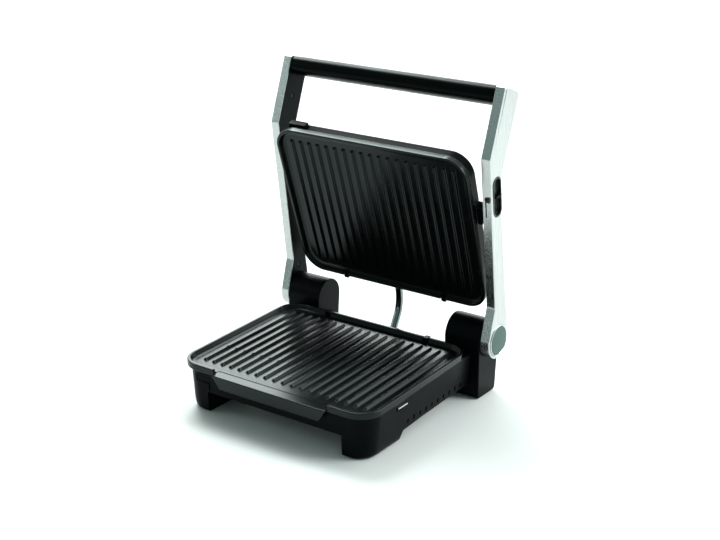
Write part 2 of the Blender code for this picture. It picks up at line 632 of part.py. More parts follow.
def pivot_cap(name, side):
    """Slightly crowned disc over the end of the hinge shaft."""
    x_in = side * (ARM_OUTER_X - 0.0062)
    steps = ((x_in, CAP_RADIUS), (side * (ARM_OUTER_X + 0.0004), CAP_RADIUS),
             (side * (ARM_OUTER_X + 0.0012), CAP_RADIUS - 0.0010),
             (side * (ARM_OUTER_X + CAP_CROWN), CAP_RADIUS * 0.55))
    rings = [[(x, y, z) for y, z in circle(HINGE_Y, HINGE_Z, r, 32)] for x, r in steps]
    return loft(rings, name, GREY_CAP, smooth=True)


def handle():
    """Grip between the arms' tops, on a steel rod that runs into both liners."""
    outline = rounded_rectangle(-GRIP_HALF_WIDTH, -GRIP_HALF_HEIGHT, GRIP_HALF_WIDTH,
                                GRIP_HALF_HEIGHT, [GRIP_CORNER] * 4, 6)
    centre = Vector((GRIP_Y, GRIP_Z))
    turned = [tuple(centre + ARM_TOP_BACK * a + ARM_TOP_UP * b) for a, b in outline]
    end = ARM_INNER_X - GAP
    grip = side_slab(turned, -end, end, "handle_grip", GRIP_PLASTIC, smooth=True)
    cut(grip, cylinder_x(GRIP_Y, GRIP_Z, ROD_RADIUS + GAP, -0.2, 0.2, "rod_hole", None, 16))
    rod = cylinder_x(GRIP_Y, GRIP_Z, ROD_RADIUS, -ROD_END_X, ROD_END_X, "handle_rod", BRIGHT_STEEL,
                     16, 0.0006)
    return grip, rod


# ---------------------------------------------------------------- height lock on the right arm

ARM_UP = (ARM_FRONT_BEND - ARM_LOW_BEND).normalized()
LOCK_CENTRE = Vector((ARM_OUTER_X, FRONT + 0.2432, 0.2762))
# Local X rearwards, Y up the arm, Z out of its outer face.
LOCK_FRAME = (Matrix.Translation(LOCK_CENTRE)
              @ Matrix(((0, 0, 1, 0), (ARM_UP.y, ARM_UP.x, 0, 0), (-ARM_UP.x, ARM_UP.y, 0, 0),
                        (0, 0, 0, 1))))


def height_lock(cover, liner):
    """Oval bezel let into the arm, the slider with its pointer and tongue, and their slots."""
    place = LOCK_FRAME
    outer = rounded_rectangle(-0.0100, -0.0265, 0.0100, 0.0265, [0.0095] * 4, 5)
    seat = rounded_rectangle(-0.0103, -0.0268, 0.0103, 0.0268, [0.0098] * 4, 5)
    bezel = slab(outer, -0.0050, 0.0006, "lock_bezel", BLACK_PLASTIC, place, smooth=True)
    well = rounded_rectangle(-0.0078, -0.0243, 0.0078, 0.0243, [0.0073] * 4, 5)
    cut(bezel, slab(well, -0.0035, 0.01, "well", None, place),
        box(-0.0012, -0.0235, -0.01, 0.0012, 0.0040, 0.01, "track", None, place))
    cut(cover, slab(seat, -0.0053, 0.01, "seat", None, place),
        box(-0.0200, -0.0235, -0.0092, -0.0080, 0.0040, -0.0072, "front_slot", None, place))
    cut(liner, slab(seat, -0.0053, 0.01, "seat", None, place),
        box(-0.0200, -0.0245, -0.0092, 0.0050, 0.0050, -0.0050, "slider_room", None, place))
    slider = box(-0.0009, -0.0015, -0.0088, 0.0009, 0.0030, CAP_CROWN - 0.0003, "height_slider",
                 BLACK_PLASTIC, place)
    join(slider, box(-0.0060, 0.0002, -0.0030, 0.0068, 0.0024, CAP_CROWN, "pointer", None, place),
         box(-0.0158, -0.0004, -0.0088, 0.0005, 0.0028, -0.0076, "tongue", None, place))
    return bezel, slider


# ---------------------------------------------------------------- head


def head_housing():
    """Upper shell behind the plate, with a broad bevel all round its back."""
    half = PLATE_WIDTH / 2 - 0.0025
    back = -HEAD_THICKNESS

    def ring(z, inset):
        outline = rounded_rectangle(-half + inset, 0.0025 + inset, half - inset,
                                    HEAD_DEPTH - 0.0025 - inset, [0.0275 + inset * 0.3] * 4)
        return [(x, y, z) for x, y in outline]

    start = -RIM_HEIGHT - GAP
    housing = loft([ring(start, 0), ring(-0.0250, 0.0010), ring(-0.0370, 0.0150),
                    ring(back, 0.0260)], "head_housing", BLACK_PLASTIC, HEAD_FRAME, smooth=True)
    hollow = loft([ring(start + 0.01, WALL + 0.0015), ring(-0.0245, WALL + 0.0015),
                   ring(-0.0350, 0.0175), ring(back + WALL, 0.0280)], "hollow", None, HEAD_FRAME)
    cut(housing, hollow)
    axis = HEAD_AXIS_POINT
    cut(housing, cylinder_x(axis[1], axis[2], PIN_RADIUS + GAP, -0.2, 0.2, "pin_holes", None, 16))
    x0, x1 = BUTTON_X
    cut(housing, box(x0 - 0.0005, -0.01, -0.0215, x1 + 0.0005, 0.012, -0.0105, "slot", None,
                     HEAD_FRAME))
    cut(housing, turned("mouth", CONDUIT_MOUTH - HEAD_DOWN * 0.01, HEAD_DOWN,
                        ((0, CONDUIT_RADIUS + 0.0008), (0.02, CONDUIT_RADIUS + 0.0008)), None))
    return housing


BUTTON_X = (0.1000, 0.1270)


def upper_button():
    """Plate release tab on the head's top edge."""
    x0, x1 = BUTTON_X
    tab = box(x0, -0.0030, -0.0210, x1, 0.0080, -0.0110, "upper_button", BLACK_PLASTIC, HEAD_FRAME)
    return tab


def head_cheek(name, side):
    """Raised pad on the head's side under the pivot pin."""
    x0, x1 = sorted((side * (PLATE_WIDTH / 2 - 0.0035 + 0.0015), side * 0.1524))
    cheek = box(x0, PIN_V + PIN_RADIUS + 0.0006, -0.0330, x1, PIN_V + 0.0256, -0.0120, name,
                BLACK_PLASTIC, HEAD_FRAME)
    cut(cheek, box(side * 0.1495 - 0.0001 if side > 0 else -0.2, PIN_V + 0.0200, -0.1,
                   0.2 if side > 0 else side * 0.1495, 0.2, 0.1, "chamfer", None, HEAD_FRAME))
    return cheek


def pivot_pin(name, side):
    """Steel pin on which the head floats between the arms."""
    axis = HEAD_AXIS_POINT
    x0, x1 = sorted((side * 0.1280, side * PIN_OUTER_X))
    return cylinder_x(axis[1], axis[2], PIN_RADIUS, x0, x1, name, BRIGHT_STEEL, 16, 0.0005)


def conduit_gland_head():
    """Collar where the conduit enters the head's lower edge."""
    inner = CONDUIT_RADIUS + 0.0008
    return collar("conduit_gland_head", CONDUIT_MOUTH + HEAD_DOWN * GAP, HEAD_DOWN,
                  ((0.0, 0.0080), (0.0022, 0.0076)), ((-0.0010, inner), (0.0032, inner)))


# ---------------------------------------------------------------- assembly

base_housing()
bottom_cover()
lower_plate()
heater("lower_heater", PLATE_FRAME, PLATE_DEPTH, -PLATE_UNDERSIDE - 0.0038)
thermostat("lower_thermostat", PLATE_FRAME, -PLATE_UNDERSIDE - 0.0004)
lower_button()
side_clip()
terminal_block()
mains_inlet()
pads()
conduit()
conduit_gland_base()
upper_plate()
head_housing()
heater("upper_heater", HEAD_FRAME, HEAD_DEPTH, -PLATE_UNDERSIDE - 0.0038)
thermostat("upper_thermostat", HEAD_FRAME, -PLATE_UNDERSIDE - 0.0004)
upper_button()
conduit_gland_head()
handle()
for side_name, side in (("left", -1), ("right", 1)):
    hinge_tower("hinge_tower_" + side_name, side)
    hinge_shaft("hinge_shaft_" + side_name, side)
    pivot_pin("pivot_pin_" + side_name, side)
    head_cheek("head_cheek_" + side_name, -side)
    pivot_cap("pivot_cap_" + side_name, side)
    plate_hook("plate_hook_" + side_name, PLATE_FRAME, side * HOOK_X, PLATE_DEPTH,
               [(PLATE_DEPTH + GAP, -RIM_HEIGHT), (PLATE_DEPTH + 0.0034, -RIM_HEIGHT)])
    low = HEAD_DEPTH - 0.0022
    plate_hook("head_clip_" + side_name, HEAD_FRAME, -side * HOOK_X, HEAD_DEPTH,
               [(HEAD_DEPTH + GAP, -RIM_HEIGHT), (low, -RIM_HEIGHT - GAP), (low, -0.0200),
                (HEAD_DEPTH + 0.0012, -0.0200)])
    steel = arm_cover("arm_cover_" + side_name, side)
    plastic, _ = arm_liner("arm_liner_" + side_name, side)
    if side > 0:
        height_lock(steel, plastic)
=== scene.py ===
"""The looks of an open panini press: two ribbed plates, a moulded base, steel arms and a grip."""

import math

import bmesh
import bpy
import numpy as np
from mathutils import Matrix, Vector


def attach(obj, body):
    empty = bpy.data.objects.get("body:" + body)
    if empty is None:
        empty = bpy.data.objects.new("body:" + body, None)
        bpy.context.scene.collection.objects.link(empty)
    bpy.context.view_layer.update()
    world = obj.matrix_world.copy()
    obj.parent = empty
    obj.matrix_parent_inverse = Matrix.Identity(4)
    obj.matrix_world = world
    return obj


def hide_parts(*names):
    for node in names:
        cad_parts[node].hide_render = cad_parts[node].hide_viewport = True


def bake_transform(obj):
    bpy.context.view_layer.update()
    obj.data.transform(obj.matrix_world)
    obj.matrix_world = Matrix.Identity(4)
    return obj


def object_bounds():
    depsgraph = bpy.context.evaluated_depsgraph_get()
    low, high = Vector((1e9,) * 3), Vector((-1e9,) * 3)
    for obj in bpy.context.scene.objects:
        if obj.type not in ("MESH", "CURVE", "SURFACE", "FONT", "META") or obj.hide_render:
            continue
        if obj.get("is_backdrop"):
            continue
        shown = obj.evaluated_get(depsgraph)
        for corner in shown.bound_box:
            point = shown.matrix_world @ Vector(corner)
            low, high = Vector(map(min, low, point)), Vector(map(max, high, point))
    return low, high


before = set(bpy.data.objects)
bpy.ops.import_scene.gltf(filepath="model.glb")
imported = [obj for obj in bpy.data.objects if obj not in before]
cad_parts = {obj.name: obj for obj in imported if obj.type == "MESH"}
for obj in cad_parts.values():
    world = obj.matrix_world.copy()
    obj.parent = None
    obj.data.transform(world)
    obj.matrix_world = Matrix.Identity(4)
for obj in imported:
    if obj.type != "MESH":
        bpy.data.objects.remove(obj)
cad_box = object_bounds()

# ------------------------------------------------------------------ camera
# A product-photography view from the front right, above the grip's height.
CAMERA_POINT = (0.9241, -1.3128, 0.7389)
CAMERA_YAW, CAMERA_PITCH, CAMERA_ROLL = 0.5985, -0.3389, 0.0162
SENSOR_WIDTH, FOCAL_LENGTH = 36, 67.57
ahead = Vector((-math.sin(CAMERA_YAW) * math.cos(CAMERA_PITCH),
                math.cos(CAMERA_YAW) * math.cos(CAMERA_PITCH), math.sin(CAMERA_PITCH)))
level = Vector((math.cos(CAMERA_YAW), math.sin(CAMERA_YAW), 0))
upright = level.cross(ahead)
right = level * math.cos(CAMERA_ROLL) + upright * math.sin(CAMERA_ROLL)
above = upright * math.cos(CAMERA_ROLL) - level * math.sin(CAMERA_ROLL)
lens_data = bpy.data.cameras.new("studio_camera")
lens_data.sensor_width = SENSOR_WIDTH
lens_data.lens = FOCAL_LENGTH
camera = bpy.data.objects.new("studio_camera", lens_data)
turn = Matrix((right, above, -ahead)).transposed().to_4x4()
camera.matrix_world = Matrix.Translation(CAMERA_POINT) @ turn
bpy.context.collection.objects.link(camera)
bpy.context.scene.camera = camera

# ------------------------------------------------------------------ lower plate
# Die-cast aluminium with a sprayed non-stick coating. It lifts out of the base for washing, drains
# to a wide spout at the front, and is held by two hooks at the back.
FRONT = -0.1495
PLATE_HALF = 0.145
PLATE_DEPTH = 0.2353
PLATE_CORNER = 0.030
PLATE_TILT = math.radians(2.0)
PLATE_TOP = 0.0656
FLOOR = -0.0065
UNDERSIDE = -0.0085
RIB_COUNT, RIB_PITCH = 19, 0.01364
RIB_HALF, RIB_HEIGHT = 0.0034, 0.0031
LOWER_RIBS = (0.0255, 0.2175)
HOOK_X, HOOK_GAP_HALF, HOOK_GAP_FLOOR = 0.078, 0.0042, -0.0056
SPOUT_GATE_HALF, SPOUT_FLOOR = 0.0868, -0.0070
SPOUT_HALF, SPOUT_TOP = 0.0862, -0.0072
APRON_HALF, APRON_FOOT = 0.0755, -0.0236
PIP_RADIUS, PIP_LENGTH, PIP_HEIGHT = 0.0016, 0.0048, 0.0010
POINT_SPACING = 0.0012


def tones(code):
    """Linear colour of an sRGB hex value."""
    c = np.array([int(code[i:i + 2], 16) for i in (0, 2, 4)]) / 255
    return (*np.where(c <= 0.04045, c / 12.92, ((c + 0.055) / 1.055) ** 2.4), 1.0)


def add_node(tree, kind, settings=(), links=()):
    """A node with its settings (attributes, or sockets by name or number) and incoming links."""
    node = tree.nodes.new(kind)
    for key, value in dict(settings).items():
        if isinstance(key, str) and hasattr(node, key):
            setattr(node, key, value)
        else:
            node.inputs[key].default_value = value
    for socket, source in dict(links).items():
        tree.links.new(source, node.inputs[socket])
    return node


def new_finish(name, **sockets):
    """A material with its Principled shader set; returns the material, its tree and the shader."""
    mat = bpy.data.materials.new(name)
    mat.use_nodes = True
    shader = mat.node_tree.nodes["Principled BSDF"]
    for key, value in sockets.items():
        shader.inputs[key.replace("_", " ")].default_value = value
    return mat, mat.node_tree, shader


def frame_axes(origin, along, across, out):
    """A working frame: its origin and its three axes in the press's frame."""
    return np.array(origin, float), np.array([along, across, out], float)


def rounded_path(corners, radii, steps=10):
    """Closed path through the corners, each one replaced by an arc of its radius that touches both
    sides: centre on the bisector, at radius / sin(half the corner's angle)."""
    corners = np.asarray(corners, float)
    arcs = []
    for k, radius in enumerate(np.broadcast_to(radii, len(corners))):
        here = corners[k]
        a = corners[k - 1] - here
        b = corners[(k + 1) % len(corners)] - here
        a, b = a / np.linalg.norm(a), b / np.linalg.norm(b)
        half = math.acos(np.clip(a @ b, -1, 1)) / 2
        if radius <= 0 or half > 1.565:
            arcs.append(here[None])
            continue
        centre = here + (a + b) / np.linalg.norm(a + b) * radius / math.sin(half)
        start = here + a * radius / math.tan(half) - centre
        end = here + b * radius / math.tan(half) - centre
        sweep = math.acos(np.clip(start @ end / radius ** 2, -1, 1))
        t = np.linspace(0, 1, steps + 1)[:, None]
        arcs.append(centre + (np.sin((1 - t) * sweep) * start + np.sin(t * sweep) * end)
                    / math.sin(sweep))
    return np.concatenate(arcs)


def subdivided(path, spacing):
    """The closed path with extra points, so that none are further apart than the spacing."""
    ring = np.vstack([path, path[:1]])
    length = np.concatenate([[0], np.cumsum(np.linalg.norm(np.diff(ring, axis=0), axis=1))])
    where = np.union1d(length[:-1], np.arange(0, length[-1], spacing))
    where = where[np.concatenate([[True], np.diff(where) > spacing * 0.05])]
    return np.stack([np.interp(where, length, ring[:, i]) for i in (0, 1)], axis=1)


def inward(path):
    """Vector at each point of an anticlockwise path that moves both its sides in by one."""
    side = np.roll(path, -1, axis=0) - path
    side /= np.linalg.norm(side, axis=1, keepdims=True)
    normal = np.stack([-side[:, 1], side[:, 0]], axis=1)
    before = np.roll(normal, 1, axis=0)
    return (normal + before) / (1 + np.sum(normal * before, axis=1, keepdims=True))


def carried(path, profile):
    """A profile of (inset, height) carried round a closed path: point = path + inset * inward
    normal, at that height. Rows follow the profile, columns the path."""
    profile = np.asarray(profile, float)
    flat = path[None] + profile[:, None, :1] * inward(path)[None]
    height = np.broadcast_to(profile[:, None, 1:], flat.shape[:2] + (1,))
    return np.concatenate([flat, height], axis=2)


def eased(profile, radius, steps=4):
    """An open profile with its inner corners rounded; the radius may differ from corner to corner."""
    profile = np.asarray(profile, float)
    radii = np.concatenate([[0], np.broadcast_to(radius, len(profile) - 2), [0]])
    return rounded_path(profile, radii, steps)


def in_frame(grid, axes):
    """A working frame's points in the press's frame: origin + each coordinate * its axis."""
    origin, directions = axes
    return origin + grid @ directions


def build(name, shells, finish=None, sharp=40):
    """One mesh from closed shells. Each is a grid of points whose columns close on themselves; rows
    run from the underside over the outside. The first and last rows are capped, unless they are
    the same, which makes a ring."""
    points, faces, start = [], [], 0
    for grid in shells:
        looped = np.allclose(grid[0], grid[-1])
        grid = grid[:-1] if looped else grid
        rows, columns = grid.shape[:2]
        index = start + np.arange(rows * columns).reshape(rows, columns)
        here = np.vstack([index, index[:1]]) if looped else index
        beside = np.roll(here, -1, axis=1)
        quads = np.stack([here[:-1], beside[:-1], beside[1:], here[1:]], axis=-1).reshape(-1, 4)
        faces += quads.tolist()
        faces += [] if looped else [index[0, ::-1].tolist(), index[-1].tolist()]
        points.append(grid.reshape(-1, 3))
        start += rows * columns
    data = bpy.data.meshes.new(name)
    data.from_pydata(np.concatenate(points).tolist(), [], faces)
    data.validate()
    if finish:
        data.materials.append(finish)
    data.shade_smooth()
    data.set_sharp_from_angle(angle=math.radians(sharp))
    piece = bpy.data.objects.new(name, data)
    bpy.context.collection.objects.link(piece)
    return piece


def even_faces(piece):
    """Shading that keeps large flat faces flat beside the small radii round them."""
    modifier = piece.modifiers.new("even_faces", 'WEIGHTED_NORMAL')
    modifier.weight, modifier.keep_sharp = 100, True


def fit(piece, body, slot, *nodes):
    """The piece moves with a body and stands for CAD nodes, which are hidden; the slot is not used."""
    even_faces(piece)
    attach(piece, body)
    if nodes:
        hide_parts(*nodes)
    return piece


def nonstick_finish():
    """PTFE coating over blasted casting: near black, low gloss with an orange-peel skin and a few
    mica specks. The peel is 1.5 mm across, the specks 0.4 mm."""
    mat, tree, shader = new_finish("nonstick_coating", IOR=1.35, Metallic=0.0, Specular_IOR_Level=0.5,
                                   Specular_Tint=tones("cfe6e2"))
    place = add_node(tree, "ShaderNodeTexCoord").outputs["Object"]
    peel = add_node(tree, "ShaderNodeTexNoise", {"Scale": 650, "Detail": 2}, {"Vector": place})
    blotch = add_node(tree, "ShaderNodeTexNoise", {"Scale": 22, "Detail": 3}, {"Vector": place})
    specks = add_node(tree, "ShaderNodeTexVoronoi", {"Scale": 900}, {"Vector": place})
    spark = add_node(tree, "ShaderNodeMapRange", {"From Min": 0.0, "From Max": 0.16, "To Min": 1.0,
                                                  "To Max": 0.0}, {"Value": specks.outputs["Distance"]})
    colour = add_node(tree, "ShaderNodeMix", {"data_type": 'RGBA', 6: tones("060808"),
                                              7: tones("20282a")}, {0: spark.outputs[0]})
    rough = add_node(tree, "ShaderNodeMapRange", {"From Min": 0.3, "From Max": 0.7, "To Min": 0.20,
                                                  "To Max": 0.27}, {"Value": blotch.outputs["Fac"]})
    bump = add_node(tree, "ShaderNodeBump", {"Strength": 0.025, "Distance": 0.0001},
                    {"Height": peel.outputs["Fac"]})
    tree.links.new(colour.outputs[2], shader.inputs["Base Color"])
    tree.links.new(rough.outputs[0], shader.inputs["Roughness"])
    tree.links.new(bump.outputs[0], shader.inputs["Normal"])
    return mat


nonstick = nonstick_finish()


def pan(depth, gates):
    """A plate's casting: an eased profile carried round its outline, from the stepped underside over
    the rim to the floor. In each gate (x0, x1, at the front or not, floor) the rim is pressed down
    to the gate's floor: height = the lesser of the two."""
    outline = rounded_path([(-PLATE_HALF, 0), (PLATE_HALF, 0), (PLATE_HALF, depth), (-PLATE_HALF, depth)],
                           PLATE_CORNER, 16)
    outline = subdivided(outline, POINT_SPACING)
    profile = eased([(0.0130, -0.0115), (0.0112, -0.0115), (0.0108, UNDERSIDE), (0.0, UNDERSIDE),
                     (0.0, 0.0), (0.0040, 0.0), (0.0062, -0.0056), (0.0100, FLOOR), (0.0125, FLOOR)],
                    [0.0002, 0.0003, 0.0008, 0.0011, 0.0008, 0.0012, 0.0030], 4)
    grid = carried(outline, profile)
    for x0, x1, front, gate_floor in gates:
        inside = (outline[:, 0] > x0) & (outline[:, 0] < x1)
        inside &= (outline[:, 1] < 0.001) if front else (outline[:, 1] > depth - 0.001)
        pressed = inside[None] & (grid[..., 2] > gate_floor)
        grid[..., 2] = np.where(pressed, gate_floor, grid[..., 2])
    return grid


def ridge(x, start, end, half=RIB_HALF, height=RIB_HEIGHT, base=FLOOR):
    """A cooking rib: a bell profile, height times the smooth step of the inset, carried round a
    slot-shaped outline."""
    outline = rounded_path([(x - half, start), (x + half, start), (x + half, end), (x - half, end)],
                           half * 0.96, 7)
    inset = np.linspace(0, half * 0.80, 9)
    t = np.clip(inset / (half * 0.76), 0, 1)
    rise = height * t * t * (3 - 2 * t)
    return carried(outline, np.stack([inset, base - 0.00005 + rise], axis=1))


rib_places = (np.arange(RIB_COUNT) - (RIB_COUNT - 1) / 2) * RIB_PITCH


def plate_shells(depth, start, end, gates):
    """A plate's shells: its pan, and a rib from start to end at each place."""
    return [pan(depth, gates)] + [ridge(x, start, end) for x in rib_places]


lower_axes = frame_axes((0, FRONT, PLATE_TOP), (1, 0, 0),
                        (0, math.cos(PLATE_TILT), math.sin(PLATE_TILT)),
                        (0, -math.sin(PLATE_TILT), math.cos(PLATE_TILT)))
hook_gates = [(side * HOOK_X - HOOK_GAP_HALF, side * HOOK_X + HOOK_GAP_HALF, False, HOOK_GAP_FLOOR)
              for side in (-1, 1)]
spout_gate = (-SPOUT_GATE_HALF, SPOUT_GATE_HALF, True, SPOUT_FLOOR)
shells = plate_shells(PLATE_DEPTH, *LOWER_RIBS, [*hook_gates, spout_gate])

# A row of small cast pips across the outer seven ribs on each side.
for places, y in ((rib_places[:7], 0.072), (rib_places[-7:], 0.050)):
    shells += [ridge(x, y - PIP_LENGTH / 2, y + PIP_LENGTH / 2, PIP_RADIUS, PIP_HEIGHT, FLOOR + 0.0028)
               for x in places]

# The spout's lip and apron: a closed section in (y, z), carried across; its ends lean in with
# height, x = share * (half width at that height).
lip = eased([(0.0090, -0.0072), (0.0008, -0.0078), (0.0006, APRON_FOOT), (-0.0020, APRON_FOOT),
             (-0.0034, -0.0062), (0.0090, -0.0064)],
            [0.0008, 0.0004, 0.0008, 0.0009], 5)[::-1]
share = np.array([-1, -0.995, -0.6, -0.2, 0.2, 0.6, 0.995, 1])
width = np.interp(lip[:, 1], [APRON_FOOT, SPOUT_TOP], [APRON_HALF, SPOUT_HALF])
draw_in = np.where(np.abs(share) == 1, 0.97, 1.0)
middle = np.array([0.0, -0.012])
section = middle + (lip[None] - middle) * draw_in[:, None, None]
spout = np.concatenate([share[:, None, None] * width[None, :, None], section], axis=2)
shells.append(spout)
lower_plate = build("lower_casting", [in_frame(g, lower_axes) for g in shells], nonstick)
fit(lower_plate, "base", "non_stick_coating", "lower_plate")

# ------------------------------------------------------------------ base housing
# Injection-moulded black ABS with a spark-eroded satin skin. Two front legs leave an arch for the
# drip tray; the sides carry a row of vents.
HOUSING_HALF = 0.1430
BASE_REAR = 0.2885
REAR_DECK = 0.0460
LEG_INNER, LEG_REAR, ARCH = 0.1025, 0.083, 0.0285
PAD = 0.0010
WALL, SKIN = 0.0078, 0.003
FAR = 0.2                          # beyond the press on every side, for cutting
VENT_COUNT, VENT_PITCH, VENT_HALF, VENT_HEIGHT = 10, 0.0137, 0.0016, 0.006
HINGE_Y, HINGE_Z = FRONT + 0.2655, 0.0795
TOWER_RADIUS = 0.0255
TOWER_X = (0.1013, 0.1530)
world_axes = frame_axes((0, FRONT, 0), (1, 0, 0), (0, 1, 0), (0, 0, 1))
side_axes = frame_axes((0, 0, 0), (0, 1, 0), (0, 0, 1), (1, 0, 0))


def moulded_finish(name, code, low, high, grain=1400, depth=0.12, level=0.05):
    """Moulded plastic: one dark colour, a spark-eroded grain under 1 mm and gloss that varies
    softly over a few centimetres where the part has been handled."""
    mat, tree, shader = new_finish(name, IOR=1.5, Metallic=0.0, Specular_IOR_Level=level,
                                   Specular_Tint=tones("cfe6e2"))
    shader.inputs["Base Color"].default_value = tones(code)
    place = add_node(tree, "ShaderNodeTexCoord").outputs["Object"]
    skin = add_node(tree, "ShaderNodeTexNoise", {"Scale": grain, "Detail": 2}, {"Vector": place})
    handled = add_node(tree, "ShaderNodeTexNoise", {"Scale": 30, "Detail": 4}, {"Vector": place})
    rough = add_node(tree, "ShaderNodeMapRange", {"From Min": 0.3, "From Max": 0.7, "To Min": low,
                                                  "To Max": high}, {"Value": handled.outputs["Fac"]})
    bump = add_node(tree, "ShaderNodeBump", {"Strength": depth, "Distance": 0.0001},
                    {"Height": skin.outputs["Fac"]})
    tree.links.new(rough.outputs[0], shader.inputs["Roughness"])
    tree.links.new(bump.outputs[0], shader.inputs["Normal"])
    return mat


abs_black = moulded_finish("moulded_abs", "060809", 0.30, 0.40)


def block(x0, y0, z0, x1, y1, z1):
    """A plain box as a shell, for cutting."""
    return carried(np.array([(x0, y0), (x1, y0), (x1, y1), (x0, y1)], float), [(0, z0), (0, z1)])


def subtract(piece, cutter):
    """Take the cutter's shape out of the piece's mesh for good, and throw the cutter away."""
    modifier = piece.modifiers.new("cut", 'BOOLEAN')
    modifier.object, modifier.operation, modifier.solver = cutter, 'DIFFERENCE', 'EXACT'
    bpy.context.view_layer.update()
    shaped = piece.evaluated_get(bpy.context.evaluated_depsgraph_get())
    data = bpy.data.meshes.new_from_object(shaped)
    piece.modifiers.clear()
    piece.data = data
    bpy.data.objects.remove(cutter, do_unlink=True)


def cut_away(piece, *shells):
    """Take each shell out of the piece."""
    for shell in shells:
        subtract(piece, build("cutter", [shell]))


def ease_edges(piece, width, angle=40, segments=2):
    """A small radius on every sharp edge, as a mould leaves it."""
    bevel = piece.modifiers.new("eased", 'BEVEL')
    bevel.width, bevel.segments, bevel.limit_method = width, segments, 'ANGLE'
    bevel.angle_limit = math.radians(angle)
    bevel.harden_normals = True
    piece.data.shade_smooth()


def tapered(half, front, rear, corners, levels, shares):
    """Rings of a rounded rectangle that draws in level by level. A level (z, inset) moves the sides in
    by the inset, and the front and rear by their shares of it; a corner (radius, growth) gets the
    radius + growth * inset."""
    rings = []
    for z, inset in levels:
        side, y0, y1 = half - inset, front + inset * shares[0], rear - inset * shares[1]
        radii = [radius + growth * inset for radius, growth in corners]
        ring = rounded_path([(-side, y0), (side, y0), (side, y1), (-side, y1)], radii, 14)
        rings.append(np.column_stack([ring, np.full(len(ring), z)]))
    return np.stack(rings)


levels = [(PAD, 0.0125), (0.0014, 0.0098), (0.0028, 0.0075), (0.0055, 0.0060), (0.0090, 0.0052),
          (0.0140, 0.0046), (0.0660, 0.0), (0.0900, 0.0)]
corners = [(0.0275, -0.5)] * 2 + [(0.004, 0)] * 2
body = tapered(HOUSING_HALF, 0.0065, BASE_REAR, corners, levels, (0.5, 0))
housing = build("base_moulding", [in_frame(body, world_axes)], abs_black)
inner = HOUSING_HALF - WALL
tray_path = rounded_path([(-0.1395, 0.0098), (0.1395, 0.0098), (0.1395, 0.2330), (-0.1395, 0.2330)],
                         0.022, 8)
hollow_path = rounded_path([(-inner, 0.015), (inner, 0.015), (inner, 0.2840), (-inner, 0.2840)],
                           [0.022, 0.022, 0.002, 0.002], 6)

# The seat of the plate, the tray under it and the lower deck behind it are cut from above.
cut_away(housing, in_frame(block(-FAR, -0.05, UNDERSIDE - 0.0003, FAR, 2 * FAR, FAR), lower_axes),
         in_frame(carried(tray_path, [(0, -0.026), (0, 0.01)]), lower_axes),
         in_frame(block(-FAR, 0.2400, REAR_DECK, FAR, 2 * FAR, FAR), world_axes))

# The hollow that is cut from below leaves a wall round the legs, the deck and the tower ends.
hollow = build("hollow", [in_frame(carried(hollow_path, [(0, -FAR), (0, -0.029)]), lower_axes)])
cut_away(hollow, in_frame(block(-FAR, 0.2360, REAR_DECK - SKIN, FAR, 2 * FAR, FAR), world_axes))
for side in (-1, 1):
    leg_x = sorted((side * (LEG_INNER - SKIN), side * FAR))
    end_x = sorted((side * (TOWER_X[0] - SKIN), side * FAR))
    cut_away(hollow, in_frame(block(leg_x[0], -0.05, -0.3, leg_x[1], LEG_REAR - SKIN, ARCH), world_axes),
             in_frame(block(end_x[0], 0.2370, -0.3, end_x[1], 2 * FAR, FAR), world_axes))
subtract(housing, hollow)

# The front arch, and the side arches that rise towards the rear.
rise = np.array([(LEG_REAR, -0.05), (0.32, -0.05), (0.32, 0.0235), (0.13, 0.0170),
                 (LEG_REAR + 0.004, 0.0142), (LEG_REAR, 0.008)]) + (FRONT, 0)
cut_away(housing, in_frame(block(-LEG_INNER, -0.05, -0.05, LEG_INNER, 0.32, ARCH), world_axes),
         in_frame(carried(rise, [(0, -FAR), (0, FAR)]), side_axes))

# Room for the towers, and the vents.
for side in (-1, 1):
    corner_x = sorted((side * (TOWER_X[0] - 0.0008), side * FAR))
    vent_x = sorted((side * (inner - 0.001), side * 0.15))
    cut_away(housing, in_frame(block(corner_x[0], 0.2388, -0.05, corner_x[1], 2 * FAR, FAR), world_axes))
    for k in range(VENT_COUNT):
        y, z = 0.096 + k * VENT_PITCH, 0.0205 + k * 0.00035
        cut_away(housing, in_frame(block(vent_x[0], y - VENT_HALF, z, vent_x[1], y + VENT_HALF,
                                         z + VENT_HEIGHT), world_axes))

# The release button's L-shaped window in the left leg, and the side catch's slot.
cut_away(housing, in_frame(block(-0.1225, -0.01, 0.0400, -0.0985, 0.0165, 0.0500), world_axes),
         in_frame(block(-0.1100, -0.01, 0.0310, -0.0985, 0.0165, 0.0410), world_axes),
         in_frame(block(0.1350, 0.0655, 0.0475, 0.1530, 0.0885, 0.0545), world_axes))
ease_edges(housing, 0.0007)
fit(housing, "base", "black_plastic", "base_housing")

